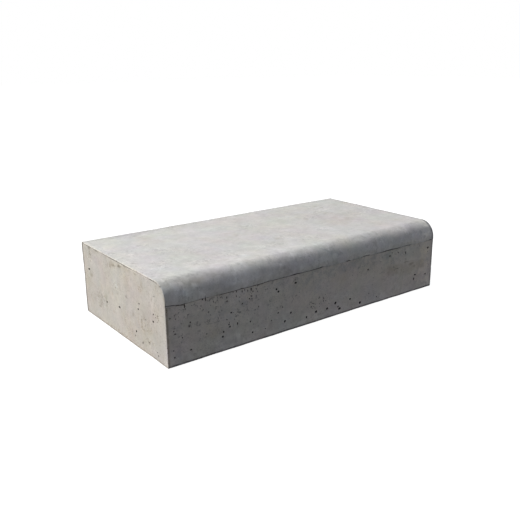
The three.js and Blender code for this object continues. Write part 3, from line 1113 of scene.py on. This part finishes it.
# Grime in the mould joint and beside it.
GRIME = (0.30, 0.29, 0.28, 1)
GRIME_SHARE = 0.42  # how far it covers the concrete at the groove
bleed = noise_of(tree, place, 0.007, detail=3.0, roughness=0.65, start=40.0)
width = fitted(tree, bleed, 0.40, 0.72, 0.5 * MM, 5.5 * MM)
beside = rest_of(tree, math_of(tree, "DIVIDE", apart(tree, z, JOINT_Z), width))
beside = product(tree, math_of(tree, "MAXIMUM", beside, 0.0), on_front)
colour = mixed(tree, product(tree, beside, GRIME_SHARE), colour, GRIME)

# Painted shade along the bottom, back and end arrises: a shadow along the foot, and dark lines at the
# outer edges and round the nose's right end. A coordinate, the two places on it between which the
# painted shade comes on, in mm, the faces that it lies on, and the colour that it multiplies by.
ARRIS_SHADE_LINES = (
    (z, 8.0, 4.4, on_front, (0.22, 0.22, 0.23)),
    (z, 8.0, 3.0, off_front, (0.66, 0.62, 0.58)),
    (y, 238.0, 245.0, on_end, (0.28, 0.26, 0.24)),
    (y, 224.0, 240.0, in_pan, (0.930, 0.930, 0.930)),
    (y, 244.0, 248.0, in_pan, (0.50, 0.50, 0.50)),
    (x, -480.0, -497.0, on_front, (0.90, 0.90, 0.86)),
    (x, -492.0, -496.0, on_front, (0.66, 0.62, 0.57)),
    (x, 490.0, 495.0, off_end, (0.55, 0.55, 0.55)),
    (x, 487.0, 494.0, on_nose, (0.50, 0.50, 0.51)),
)
# Painted shade along the arrises, broken by noise into uneven stretches.
shade_noise = noise_of(tree, place, 0.018, detail=3.0, start=45.0)
uneven_shade = fitted(tree, shade_noise, 0.32, 0.55, 0.45, 1.0)
for along, unshaded_at, shaded_at, where, effect in ARRIS_SHADE_LINES:
    share = product(tree, fitted(tree, along, unshaded_at * MM, shaded_at * MM), uneven_shade, where)
    colour = multiply_in(tree, share, colour, effect)

# Dust and painted shade in the hollows, the darker the deeper they are, and arrises that are worn pale and
# carry a painted highlight.
HOLLOW_DUST_AND_SHADE = (0.24, 0.235, 0.23)
DEEP_HOLLOW_SHADE = (0.35, 0.35, 0.35)
WORN_PALE_AND_HIGHLIGHT = (1.12, 1.12, 1.12)
hollow = add(tree, "ShaderNodeAttribute", attribute_name="hollow").outputs["Fac"]
deep = fitted(tree, depths["Least"], 0.30 * MM, 1.9 * MM)
deepest = fitted(tree, depths["Least"], 1.2 * MM, 3.2 * MM)
not_arris = rest_of(tree, fitted(tree, arris, 0.15, 0.5))
# Dust and painted shade in the hollows, and painted shadow in the deepest.
colour = multiply_in(tree, product(tree, hollow, deep, not_arris), colour, HOLLOW_DUST_AND_SHADE)
colour = multiply_in(tree, product(tree, hollow, deepest), colour, DEEP_HOLLOW_SHADE)
# The arrises are lightened partly by wear and partly by a painted highlight.
worn = product(tree, arris, noise_of(tree, place, 0.014, detail=2.0, start=50.0))
colour = multiply_in(tree, worn, colour, WORN_PALE_AND_HIGHLIGHT)
tree.links.new(colour, shader.inputs["Base Color"])

# Roughness, and the relief that is too fine to cut: grains of sand, the skin of the steel, and
# the ripples that a hand float leaves on the bed.
rough = noise_of(tree, place, 0.030, detail=3.0, start=60.0)
smooth_pan = math_of(tree, "MULTIPLY_ADD", in_pan, -0.10, 0.86)
roughness = math_of(tree, "MULTIPLY_ADD", math_of(tree, "SUBTRACT", rough, 0.5), 0.25, smooth_pan)
tree.links.new(roughness, shader.inputs["Roughness"])
shader.inputs["Specular IOR Level"].default_value = 0.25
RELIEF = (
    # length of a lump, height of the relief, detail
    (0.060, 0.70 * MM, 2.0),
    (0.009, 0.22 * MM, 3.0),
    (0.0016, 0.10 * MM, 2.0),
)
normal = None
for start, (length, height, detail) in enumerate(RELIEF):
    lumps = noise_of(tree, place, length, detail=detail, start=70.0 + start)
    bump = add(tree, "ShaderNodeBump", {"Strength": 1.0, "Distance": height, "Height": lumps})
    if normal:
        tree.links.new(normal, bump.inputs["Normal"])
    normal = bump.outputs[0]
tree.links.new(normal, shader.inputs["Normal"])

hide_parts("kerb_stone")
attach(kerb, "root")

# ---------------------------------------------------------------------------------------------
# Floor, light and camera
#
# A wide pale floor under a white surround. It shows white to the camera, and keeps the shadow.
# ---------------------------------------------------------------------------------------------

FLOOR_HALF = 20.0
FLOOR_GREY = (0.14, 0.14, 0.14, 1)  # the floor as the stone sees it
LENS_GREY = (0.20, 0.20, 0.20, 1)  # the floor as the lens sees it, under a white glow
LENS_GLOW = 0.98
WHITE = (1, 1, 1, 1)
COOL_WHITE = (0.945, 1.0, 1.150)
FILL_STRENGTH = 0.14


def seen_apart(tree, others, lens, output):
    """Ends a tree with one shader for rays from the lens, or from anything shiny or clear, and
    another for all others."""
    path = add(tree, "ShaderNodeLightPath").outputs
    from_lens = path["Is Camera Ray"]
    for name in ("Is Glossy Ray", "Is Transmission Ray"):
        from_lens = math_of(tree, "MAXIMUM", from_lens, path[name])
    choose = add(tree, "ShaderNodeMixShader", {0: from_lens, 1: others, 2: lens})
    add(tree, output, {0: choose.outputs[0]})


floor_mesh = bpy.data.meshes.new("studio_floor")
floor_mesh.from_pydata(
    [(x * FLOOR_HALF, y * FLOOR_HALF, BED) for x, y in ((-1, -1), (1, -1), (1, 1), (-1, 1))],
    [],
    [(0, 1, 2, 3)],
)
floor = in_scene("studio_floor", floor_mesh)
floor_paint = bpy.data.materials.new("pale_floor")
floor_paint.use_nodes = True
tree = floor_paint.node_tree
tree.nodes.clear()
grey, pale = [
    add(tree, "ShaderNodeBsdfDiffuse", {"Color": shade}).outputs[0]
    for shade in (FLOOR_GREY, LENS_GREY)
]
glow = add(tree, "ShaderNodeEmission", {"Color": WHITE, "Strength": LENS_GLOW}).outputs[0]
lifted = add(tree, "ShaderNodeAddShader", {0: pale, 1: glow}).outputs[0]
seen_apart(tree, grey, lifted, "ShaderNodeOutputMaterial")
floor.data.materials.append(floor_paint)

world = bpy.data.worlds.new("studio")
world.use_nodes = True
bpy.context.scene.world = world
tree = world.node_tree
tree.nodes.clear()
fill, white = [
    add(tree, "ShaderNodeBackground", {"Color": shade, "Strength": strength}).outputs[0]
    for shade, strength in (((*COOL_WHITE, 1), FILL_STRENGTH), (WHITE, 1.0))
]
seen_apart(tree, fill, white, "ShaderNodeOutputWorld")

middle = (stone_low + stone_high) / 2


def light(name, kind, towards, distance, **settings):
    """A light at a distance from the stone's middle, and turned to it."""
    lamp = bpy.data.lights.new(name, kind)
    for setting, value in settings.items():
        setattr(lamp, setting, value)
    placed = in_scene(name, lamp)
    direction = Vector(towards).normalized()
    placed.location = middle + direction * distance
    placed.rotation_euler = direction.to_track_quat("Z", "Y").to_euler()


TOWARDS_KEY = (-0.595, 0.413, 0.689)
TOWARDS_FILL = (0.35, -0.93, 0.02)
light("key_light", "SUN", TOWARDS_KEY, distance=4.0, angle=math.radians(22), energy=2.76)
light("softbox", "AREA", TOWARDS_KEY, distance=3.0, shape="DISK", size=1.2, energy=34)
card = {"shape": "RECTANGLE", "size": 2.4, "size_y": 0.9, "color": COOL_WHITE}
light("fill_card", "AREA", TOWARDS_FILL, distance=2.5, energy=7.0, **card)

CAMERA_PLACE = (-1.1875, -1.5463, 0.7303)
CAMERA_TURN_DEGREES = (72.799, 0.479, -37.058)
CAMERA_LENS_MM = 44.816
camera = bpy.data.cameras.new("camera")
camera.sensor_width = 36
camera.lens = CAMERA_LENS_MM
camera_object = in_scene("camera", camera)
camera_object.location = CAMERA_PLACE
camera_object.rotation_euler = [math.radians(a) for a in CAMERA_TURN_DEGREES]
bpy.context.scene.camera = camera_object

bpy.context.scene.view_settings.view_transform = "Standard"
